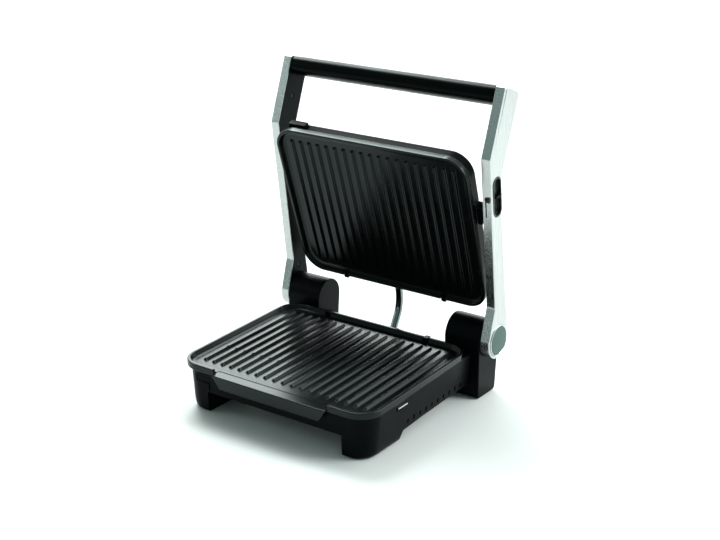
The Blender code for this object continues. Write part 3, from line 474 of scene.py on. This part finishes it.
# ------------------------------------------------------------------ hinge towers
# Two black ABS blocks at the base's rear corners. Each has a round head that holds the hinge shaft,
# and a foot that carries the back of the press.
angles = np.linspace(0, math.pi, 33)
tower_path = np.concatenate([
    np.stack([HINGE_Y + TOWER_RADIUS * np.cos(angles), HINGE_Z + TOWER_RADIUS * np.sin(angles)], axis=1),
    [(HINGE_Y - TOWER_RADIUS + 0.0028, 0.0075), (HINGE_Y - TOWER_RADIUS + 0.0036, 0.0035),
     (HINGE_Y - TOWER_RADIUS + 0.0062, PAD), (HINGE_Y + TOWER_RADIUS - 0.0075, PAD),
     (HINGE_Y + TOWER_RADIUS - 0.0045, 0.0030), (HINGE_Y + TOWER_RADIUS - 0.0034, 0.0075)]])
tower_profile = eased([(0.004, TOWER_X[0]), (0.0, TOWER_X[0]), (0.0, TOWER_X[1]), (0.004, TOWER_X[1])],
                      0.0012, 4)
tower = in_frame(carried(tower_path, tower_profile), side_axes)
SIDES = ((1, "right"), (-1, "left"))


def on_side(grid, side):
    """A shell of the press's right as it is (side 1), or on the left (side -1): x changes sign and
    the columns run the other way, so that it still faces outwards."""
    return grid if side > 0 else (grid * (-1, 1, 1))[:, ::-1]


for side, name in SIDES:
    block_end = build("tower_" + name, [on_side(tower, side)], abs_black)
    fit(block_end, "base", "black_plastic", "hinge_tower_" + name)

# ------------------------------------------------------------------ small parts of the base
# Two hooks hold the lower plate's rear rim, a spring catch its right side and a push button its
# front left. Black ABS parts keep their moulded edges; the feet are rubber, the cover is ABS.


def softened(node, name, body, slot, finish, radius=0.0004):
    """The node's own shape with every edge rounded to the radius, as moulding or pressing leaves it."""
    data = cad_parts[node].data.copy()
    shape = bmesh.new()
    shape.from_mesh(data)
    bmesh.ops.remove_doubles(shape, verts=shape.verts, dist=1e-6)
    bmesh.ops.dissolve_limit(shape, angle_limit=0.01, verts=shape.verts, edges=shape.edges)
    shape.to_mesh(data)
    shape.free()
    data.materials.clear()
    data.materials.append(finish)
    piece = bpy.data.objects.new(name, data)
    bpy.context.collection.objects.link(piece)
    ease_edges(piece, radius, 30, 3)
    return fit(piece, body, slot, node)


def dress(finish, *nodes):
    """Gives CAD nodes a finish in place of their plain one."""
    for node in nodes:
        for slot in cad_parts[node].material_slots:
            slot.link = 'OBJECT'
            slot.material = finish


def rubber_finish():
    """Moulded nitrile rubber: matt, dark grey, dusty in patches of about a centimetre."""
    mat, tree, shader = new_finish("nitrile_rubber", IOR=1.52, Roughness=0.75)
    place = add_node(tree, "ShaderNodeTexCoord").outputs["Object"]
    dust = add_node(tree, "ShaderNodeTexNoise", {"Scale": 120, "Detail": 4}, {"Vector": place})
    shade = add_node(tree, "ShaderNodeMix", {"data_type": 'RGBA', 6: tones("0c0d0d"), 7: tones("1e2020")},
                     {0: dust.outputs["Fac"]})
    bump = add_node(tree, "ShaderNodeBump", {"Strength": 0.2, "Distance": 0.0001},
                    {"Height": dust.outputs["Fac"]})
    tree.links.new(shade.outputs[2], shader.inputs["Base Color"])
    tree.links.new(bump.outputs[0], shader.inputs["Normal"])
    return mat


def ceramic_finish():
    """Steatite: unglazed white ceramic with a fine sandy grain and faint brown firing spots."""
    mat, tree, shader = new_finish("steatite_ceramic", IOR=1.55, Roughness=0.6)
    place = add_node(tree, "ShaderNodeTexCoord").outputs["Object"]
    spots = add_node(tree, "ShaderNodeTexNoise", {"Scale": 300, "Detail": 5}, {"Vector": place})
    shade = add_node(tree, "ShaderNodeMix", {"data_type": 'RGBA', 6: tones("d9d2c4"), 7: tones("cbbfa9")},
                     {0: spots.outputs["Fac"]})
    tree.links.new(shade.outputs[2], shader.inputs["Base Color"])
    return mat


rubber = rubber_finish()
ceramic = ceramic_finish()
for side in ("left", "right"):
    softened("plate_hook_" + side, "rear_hook_" + side, "base", "black_plastic", abs_black)
softened("lower_button", "lower_release_key", "lower_button", "black_plastic", abs_black, 0.0006)
for place in ("front_left", "front_right", "rear_left", "rear_right"):
    softened("foot_pad_" + place, "rubber_foot_" + place, "base", "rubber", rubber, 0.0002)
softened("mains_inlet", "lead_inlet", "base", "rubber", rubber, 0.0003)
dress(abs_black, "bottom_cover")
dress(ceramic, "terminal_block", "lower_thermostat", "upper_thermostat")

# ------------------------------------------------------------------ arms
# Each arm is a pressed cover of stainless steel, brushed along its length, with a black ABS liner
# screwed inside. A painted disc in a bright ring closes it over the hinge.
ARM_X = (0.1540, 0.1665)
SHEET = 0.0012
ARM_END = 0.0245
LEAN = math.radians(19)
arm_up = np.array([math.sin(LEAN), math.cos(LEAN)])
arm_back = np.array([math.cos(LEAN), -math.sin(LEAN)])
low_bend = np.array([FRONT + 0.2527, 0.1272])
front_bend = np.array([FRONT + 0.2200, 0.3266])
rear_bend = np.array([FRONT + 0.2493, 0.2909])
top_front = front_bend + arm_up * 0.091
top_rear = top_front + arm_back * 0.0393
hinge = np.array([HINGE_Y, HINGE_Z])


def touch(point, side):
    """Angle where a line from the point touches the arm's round end."""
    away = point - hinge
    return math.atan2(away[1], away[0]) + side * math.acos(ARM_END / np.linalg.norm(away))


first, last = touch(low_bend, 1), touch(rear_bend, -1) + 2 * math.pi
sweep = np.linspace(first, last, 40)[:, None]
round_end = hinge + ARM_END * np.concatenate([np.cos(sweep), np.sin(sweep)], axis=1)
corners = np.array([round_end[-1], rear_bend, top_rear, top_front, front_bend, low_bend, round_end[0]])
upper_path = rounded_path(corners, [0, 0.024, 0.0075, 0.0045, 0.006, 0.012, 0], 10)
arm_path = np.concatenate([round_end, upper_path[1:-1]])


def steel_finish(name, code, low, high, streak):
    """Steel with its scratches running upwards, 0.15 mm wide and some 40 mm long, drawn twice as
    wide so that they show, in the bump, the gloss and slightly in the colour."""
    mat, tree, shader = new_finish(name, Metallic=1.0)
    place = add_node(tree, "ShaderNodeTexCoord").outputs["Object"]
    drawn = add_node(tree, "ShaderNodeMapping", {"Scale": (3200, 3200, 26)}, {"Vector": place})
    lines = add_node(tree, "ShaderNodeTexNoise", {"Scale": 1, "Detail": 3}, {"Vector": drawn.outputs[0]})
    cloud = add_node(tree, "ShaderNodeTexNoise", {"Scale": 25, "Detail": 2}, {"Vector": place})
    both = add_node(tree, "ShaderNodeMath", {"operation": 'MULTIPLY_ADD', 1: 0.35},
                    {0: cloud.outputs["Fac"], 2: lines.outputs["Fac"]})
    rough = add_node(tree, "ShaderNodeMapRange", {"From Min": 0.4, "From Max": 0.95, "To Min": low,
                                                  "To Max": high}, {"Value": both.outputs[0]})
    shade = add_node(tree, "ShaderNodeMix", {"data_type": 'RGBA', 6: tones(code[0]), 7: tones(code[1])},
                     {0: lines.outputs["Fac"]})
    bump = add_node(tree, "ShaderNodeBump", {"Strength": streak, "Distance": 0.00005},
                    {"Height": lines.outputs["Fac"]})
    tree.links.new(shade.outputs[2], shader.inputs["Base Color"])
    tree.links.new(rough.outputs[0], shader.inputs["Roughness"])
    tree.links.new(bump.outputs[0], shader.inputs["Normal"])
    return mat


# Brushing gives the arms soft streaks; the rings and pins are buffed and mirror what is round them.
brushed = steel_finish("brushed_stainless", ("9b9f9e", "d8dad9"), 0.17, 0.32, 0.35)
polished = steel_finish("polished_steel", ("c6cccb", "e2e6e5"), 0.06, 0.14, 0.03)
cover_profile = eased([(SHEET, ARM_X[1] - SHEET), (SHEET, ARM_X[0]), (0.0, ARM_X[0]), (0.0, ARM_X[1]),
                       (0.0060, ARM_X[1])], [0.0004, 0.0003, 0.0014], 5)
cover = in_frame(carried(arm_path, cover_profile), side_axes)
liner_profile = eased([(0.004, ARM_X[1] - SHEET - 0.0003), (0.0015, ARM_X[1] - SHEET - 0.0003),
                       (0.0015, ARM_X[0] + 0.0002), (0.004, ARM_X[0] + 0.0002)], 0.0003, 3)[::-1]
liner = in_frame(carried(arm_path, liner_profile), side_axes)
CAP_RADIUS = 0.0208
CAP_BACK = 0.1603
painted = moulded_finish("satin_grey_paint", "4c5c58", 0.36, 0.44, 900, 0.04)

# The lower plate's side catch, in the base, is of the same buffed steel.
softened("side_clip", "side_catch", "base", "bright_steel", polished, 0.0002)


def turned(profile, steps=48, centre=(HINGE_Y, HINGE_Z)):
    """A turned part on an axis along X: rings of the profile's (radius, x), as shell rows."""
    angle = np.linspace(0, 2 * math.pi, steps, endpoint=False)
    profile = np.asarray(profile, float)
    radius, x = profile[:, :1], profile[:, 1:]
    return np.stack([np.broadcast_to(x, (len(profile), steps)), centre[0] + radius * np.cos(angle),
                     centre[1] + radius * np.sin(angle)], axis=-1)


ARM_SCREWS = ((FRONT + 0.2510, 0.3575), (FRONT + 0.2655, 0.1155))
SCREW_HOLE = 0.0040

# The height lock's seat, its slit and the slider's room, in the arm's own frame: across, along, out.
rise_y, rise_z = (front_bend - low_bend) / np.linalg.norm(front_bend - low_bend)
lock_axes = frame_axes((ARM_X[1], FRONT + 0.2432, 0.2762), (0, rise_z, -rise_y), (0, rise_y, rise_z),
                       (1, 0, 0))
seat = rounded_path([(-0.0103, -0.0268), (0.0103, -0.0268), (0.0103, 0.0268), (-0.0103, 0.0268)],
                    0.0098, 8)
seat = in_frame(carried(seat, [(0, -0.0053), (0, 0.01)]), lock_axes)
slit = in_frame(block(-0.0200, -0.0235, -0.0092, -0.0080, 0.0040, -0.0072), lock_axes)
slider_room = in_frame(block(-0.0200, -0.0245, -0.0092, 0.0050, 0.0050, -0.0050), lock_axes)

# The grey disc over the hinge's end and the bright ring round it, as turned profiles (radius, x).
cap = eased([(0.012, CAP_BACK), (CAP_RADIUS - 0.0016, CAP_BACK), (CAP_RADIUS - 0.0016, 0.1673),
             (CAP_RADIUS - 0.0030, 0.1678), (0.001, 0.1683)], [0.0002, 0.0004, 0.0008], 3)
ring = [(CAP_RADIUS, CAP_BACK), (CAP_RADIUS, 0.1670), (CAP_RADIUS - 0.0004, 0.1675),
        (CAP_RADIUS - 0.0010, 0.1676), (CAP_RADIUS - 0.0014, 0.1672), (CAP_RADIUS - 0.0015, CAP_BACK),
        (CAP_RADIUS, CAP_BACK)]
cap_hole = turned([(CAP_RADIUS + 0.0003, 0.14), (CAP_RADIUS + 0.0003, 0.18)], 64)
screw_holes = [turned([(SCREW_HOLE, 0.15), (SCREW_HOLE, ARM_X[0] + 0.003)], 24, centre)
               for centre in ARM_SCREWS]
for side, name in SIDES:
    steel = build("arm_cover_pressing_" + name, [on_side(cover, side)], brushed)
    cut_away(steel, on_side(cap_hole, side))
    filling = build("arm_liner_moulding_" + name, [on_side(liner, side)], abs_black)
    if side > 0:
        cut_away(steel, seat, slit)
        cut_away(filling, seat, slider_room)
    cut_away(filling, *(on_side(hole, side) for hole in screw_holes))
    fit(steel, "arms", "brushed_steel", "arm_cover_" + name)
    fit(filling, "arms", "black_plastic", "arm_liner_" + name)
    disc = build("pivot_disc_" + name, [on_side(turned(cap, 64), side)], painted)
    fit(disc, "arms", "grey_cap", "pivot_cap_" + name)
    rim = build("pivot_ring_" + name, [on_side(turned(ring, 64), side)], polished)
    fit(rim, "arms", "bright_steel")

# ------------------------------------------------------------------ grip
# A hollow moulding of black ABS with a silky skin, flat oval in section, held between the arms' tops
# by a steel rod.
GRIP = np.array([FRONT + 0.2641, 0.3962])
GRIP_HALF = 0.1537
GRIP_DEPTH, GRIP_HEIGHT, SQUARENESS = 0.0190, 0.0125, 0.82

# Its outline is an oval with fuller corners: half size * |cosine| ** squareness, with the cosine's
# sign, and the same with the sine.
angles = np.linspace(0, 2 * math.pi, 72, endpoint=False)
oval = np.stack([np.sign(np.cos(angles)) * GRIP_DEPTH * np.abs(np.cos(angles)) ** SQUARENESS,
                 np.sign(np.sin(angles)) * GRIP_HEIGHT * np.abs(np.sin(angles)) ** SQUARENESS], axis=1)
grip_path = GRIP + oval[:, :1] * arm_back + oval[:, 1:] * arm_up
grip_profile = eased([(0.005, -GRIP_HALF), (0.0, -GRIP_HALF), (0.0, GRIP_HALF), (0.005, GRIP_HALF)],
                     0.0006, 3)
grip_finish = moulded_finish("silky_grip_abs", "040606", 0.26, 0.34, 1800, 0.06)
grip = build("grip_moulding", [in_frame(carried(grip_path, grip_profile), side_axes)], grip_finish)
fit(grip, "arms", "grip_plastic", "handle_grip")

# ------------------------------------------------------------------ small parts of the arms
# Blackened steel screws hold each liner in its cover. The height lock is an oval ABS bezel with a sliding
# pointer, let into the right arm's outer face; its tongue shows in a slit in the arm's front.
blackened = steel_finish("blackened_screw_steel", ("16191a", "24292a"), 0.35, 0.5, 0.1)
dress(blackened, *(f"arm_screw_{end}_{side}" for end in ("upper", "lower") for side in ("left", "right")))
dress(blackened, *(f"cover_screw_{end}_{side}" for end in ("front", "rear") for side in ("left", "right")))
dress(polished, "handle_rod", "hinge_shaft_left", "hinge_shaft_right", "pivot_pin_left",
      "pivot_pin_right")
glossy_abs = moulded_finish("semi_gloss_abs", "050707", 0.24, 0.32, 1600, 0.05, 0.5)
softened("lock_bezel", "lock_escutcheon", "arms", "black_plastic", glossy_abs, 0.0003)
softened("height_slider", "lock_slider", "height_slider", "black_plastic", abs_black, 0.0002)

# The tongue ends in a thumb tab that curls sideways in front of the arm: a strip whose section is
# carried along a curve that leaves the slit and turns by 80 degrees towards the arm's outer face.
TAB_ACROSS, TAB_OUT, TAB_STEPS = -0.0138, -0.0082, 13
reach = np.linspace(0, 1, TAB_STEPS)[:, None]
turned_by = reach * math.radians(80)
tab_line = np.hstack([TAB_ACROSS - 0.0030 * np.sin(turned_by),
                      TAB_OUT + 0.0034 * (1 - np.cos(turned_by)) + 0.0040 * reach ** 2])
tab_side = np.gradient(tab_line, axis=0)
tab_side = np.stack([-tab_side[:, 1], tab_side[:, 0]], axis=1)
tab_side /= np.linalg.norm(tab_side, axis=1, keepdims=True)
tab_section = rounded_path([(-0.0006, -0.0022), (0.0006, -0.0022), (0.0006, 0.0042), (-0.0006, 0.0042)],
                           0.00055, 4)
tab = np.concatenate([tab_line[:, None] + tab_side[:, None] * tab_section[None, :, :1],
                      np.broadcast_to(tab_section[None, :, 1:], (TAB_STEPS, len(tab_section), 1))],
                     axis=2)
tab = build("lock_thumb_tab", [in_frame(tab[..., [0, 2, 1]], lock_axes)], glossy_abs)
fit(tab, "height_slider", "black_plastic")

# ------------------------------------------------------------------ head
# The upper plate is the lower one's twin without a spout. Behind it is a black ABS shell with a
# broad bevel round its back, hung on two steel pins between the arms.
HEAD_LEAN = math.radians(19.7)
HEAD_TOP = (0, FRONT + 0.1959, 0.3262)
HEAD_DEPTH = 0.2265
UPPER_RIBS = (0.0175, 0.2085)
head_axes = frame_axes(HEAD_TOP, (-1, 0, 0), (0, math.sin(HEAD_LEAN), -math.cos(HEAD_LEAN)),
                       (0, -math.cos(HEAD_LEAN), -math.sin(HEAD_LEAN)))
upper_shells = plate_shells(HEAD_DEPTH, *UPPER_RIBS, hook_gates)
upper_plate = build("upper_casting", [in_frame(g, head_axes) for g in upper_shells], nonstick)
fit(upper_plate, "head", "non_stick_coating", "upper_plate")

# The shell's levels (height over the face, inset): up the outside to the open edge, then back down
# the inside, so that it is one closed skin.
SHELL_HALF, SHELL_MARGIN = 0.1425, 0.0025
outer_levels = eased([(-0.0420, 0.0260), (-0.0370, 0.0150), (-0.0250, 0.0010), (-0.0088, 0.0)],
                     [0.006, 0.005], 6)
inner_levels = [(-0.0088, 0.0030), (-0.0245, 0.0045), (-0.0350, 0.0175), (-0.0385, 0.0270)]
shell = tapered(SHELL_HALF, SHELL_MARGIN, HEAD_DEPTH - SHELL_MARGIN, [(0.0275, 0.3)] * 4,
                [*outer_levels, *inner_levels], (1, 1))
cover_shell = build("head_moulding", [in_frame(shell, head_axes)], abs_black, 30)
button_window = block(0.0995, -0.01, -0.0215, 0.1275, 0.012, -0.0105)
cut_away(cover_shell, in_frame(button_window, head_axes))
ease_edges(cover_shell, 0.0005)
fit(cover_shell, "head", "black_plastic", "head_housing")
softened("upper_button", "upper_release_key", "upper_button", "black_plastic", abs_black, 0.0012)
for side in ("left", "right"):
    softened("head_cheek_" + side, "head_side_pad_" + side, "head", "black_plastic", abs_black, 0.0008)
    softened("head_clip_" + side, "lower_edge_clip_" + side, "head", "black_plastic", abs_black)

# ------------------------------------------------------------------ heating elements
# A tubular heater under each plate: a resistance wire in a steel sheath that is bent into a loop and
# has gone brown-grey with the heat.
sheath = steel_finish("oxidised_heater_sheath", ("4f4a45", "7d7466"), 0.35, 0.55, 0.2)
dress(sheath, "lower_heater", "upper_heater")

# ------------------------------------------------------------------ conduit
# Drawn steel tube over a flexible core, bright as chrome; it carries the head's wires from a collar
# on the rear deck to the head's lower edge.
CONDUIT_X, CONDUIT_RADIUS = -0.003, 0.0052
RING_COUNT, JOIN = 61, 32
foot = np.array([CONDUIT_X, FRONT + 0.2772, REAR_DECK])
leaves = np.array([0, 0.5, 0.866])
head_down = np.array([0, math.sin(HEAD_LEAN), -math.cos(HEAD_LEAN)])
mouth = in_frame(np.array([-CONDUIT_X, HEAD_DEPTH - 0.0025, -0.0168]), head_axes)
bulge = np.array([(0.2848, 0.0616), (0.2909, 0.0742), (0.2928, 0.0883), (0.2920, 0.0990),
                  (0.2899, 0.1090)])
knots = np.vstack([foot - leaves * 0.006,
                   np.column_stack([np.full(5, CONDUIT_X), FRONT + bulge[:, 0], bulge[:, 1]]),
                   mouth - head_down * 0.005])


def threaded(knots, count):
    """Catmull-Rom curve through the knots: each stretch is a cubic whose slope at a knot is half
    the step between that knot's neighbours."""
    ends = np.vstack([2 * knots[0] - knots[1], knots, 2 * knots[-1] - knots[-2]])
    place = np.linspace(0, len(knots) - 1, count)
    i = np.minimum(place.astype(int), len(knots) - 2)
    t = (place - i)[:, None]
    a, b, c, d = (ends[i + k] for k in range(4))
    return 0.5 * (2 * b + (c - a) * t + (2 * a - 5 * b + 4 * c - d) * t ** 2
                  + (3 * b - a - 3 * c + d) * t ** 3)


def hose(line, radius, sides=24):
    """A tube round a curve in a plane of constant x: point = curve + radius * (cosine * x axis +
    sine * the curve's normal)."""
    along = np.gradient(line, axis=0)
    along /= np.linalg.norm(along, axis=1, keepdims=True)
    across = np.array([1.0, 0, 0])
    normal = np.cross(along, across)
    angle = np.linspace(0, 2 * math.pi, sides, endpoint=False)[None, :, None]
    return line[:, None] + radius * (np.cos(angle) * across + np.sin(angle) * normal[:, None])


# Drawing leaves the tube smooth and bright, a little darker than the buffed pins.
drawn_steel = steel_finish("bright_drawn_steel", ("626a69", "8b9392"), 0.08, 0.15, 0.05)
line = threaded(knots, RING_COUNT)
rings = hose(line, CONDUIT_RADIUS)
for name, part, bodies in (("conduit_lower", slice(0, JOIN + 1), ("base", "arms")),
                           ("conduit_upper", slice(JOIN, RING_COUNT), ("arms", "head"))):
    tube = build(name, [rings[part]], drawn_steel)
    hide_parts("conduit")
    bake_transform(tube)
softened("conduit_gland_base", "deck_collar", "base", "black_plastic", abs_black, 0.0004)
softened("conduit_gland_head", "head_collar", "head", "black_plastic", abs_black, 0.0003)

# ------------------------------------------------------------------ floor and light
# White paper on the table, a bright wall behind and a dark green-grey room in front. Soft lamps stand
# over the press, at its left, behind it and at its right, and one more over the paper's far end.
PAPER_HALF = 8
sweep_data = bpy.data.meshes.new("studio_floor")
sweep_data.from_pydata([(-PAPER_HALF, -PAPER_HALF, 0), (PAPER_HALF, -PAPER_HALF, 0),
                        (PAPER_HALF, PAPER_HALF, 0), (-PAPER_HALF, PAPER_HALF, 0)], [], [(0, 1, 2, 3)])
floor = bpy.data.objects.new("studio_floor", sweep_data)
bpy.context.collection.objects.link(floor)
paper, _, paper_shader = new_finish("white_paper", Roughness=0.7)
paper_shader.inputs["Base Color"].default_value = tones("c8cac9")
sweep_data.materials.append(paper)
floor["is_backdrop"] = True
world = bpy.data.worlds.new("studio")
world.use_nodes = True
bpy.context.scene.world = world
ROOM_TONE, WALL_TONE = (0.27, 0.37, 0.35, 1), (2.6, 2.68, 2.66, 1)
sky = world.node_tree
direction = add_node(sky, "ShaderNodeTexCoord").outputs["Generated"]
split = add_node(sky, "ShaderNodeSeparateXYZ", {}, {0: direction})
behind = add_node(sky, "ShaderNodeMapRange", {"interpolation_type": 'SMOOTHSTEP', "From Min": -0.2,
                                              "From Max": 0.5}, {"Value": split.outputs["Y"]})
wall = add_node(sky, "ShaderNodeMix", {"data_type": 'RGBA', 6: ROOM_TONE, 7: WALL_TONE},
                {0: behind.outputs[0]})
sky.links.new(wall.outputs[2], sky.nodes["Background"].inputs["Color"])
LAMP_TONE = (0.92, 1.0, 0.985)

# Name, place, where it points, size in metres, power in watts, spread in degrees.
lights = (("key", (-0.85, 0.60, 1.55), (0, 0, 0.15), 0.75, 34, 180),
          ("left", (-1.8, -0.9, 0.9), (0, 0, 0.15), 0.9, 6, 180),
          ("back", (-2.0, 2.4, 1.05), (0, 0, 0.10), 1.8, 32, 180),
          ("right", (1.9, 1.0, 1.3), (0.8, 0.8, 0), 1.0, 48, 180),
          ("backdrop", (-1.9, 3.6, 2.6), (-1.9, 3.4, 0), 3.0, 40, 70))
for name, place, target, size, power, spread in lights:
    light = bpy.data.lights.new(name, 'AREA')
    light.size, light.energy, light.color = size, power, LAMP_TONE
    light.spread = math.radians(spread)
    lamp = bpy.data.objects.new(name, light)
    lamp.location = place
    lamp.rotation_euler = (Vector(target) - Vector(place)).to_track_quat('-Z', 'Y').to_euler()
    bpy.context.collection.objects.link(lamp)
bpy.context.scene.view_settings.view_transform = 'Standard'

size = {"cad": [list(corner) for corner in cad_box], "visual": [list(corner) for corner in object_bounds()]}
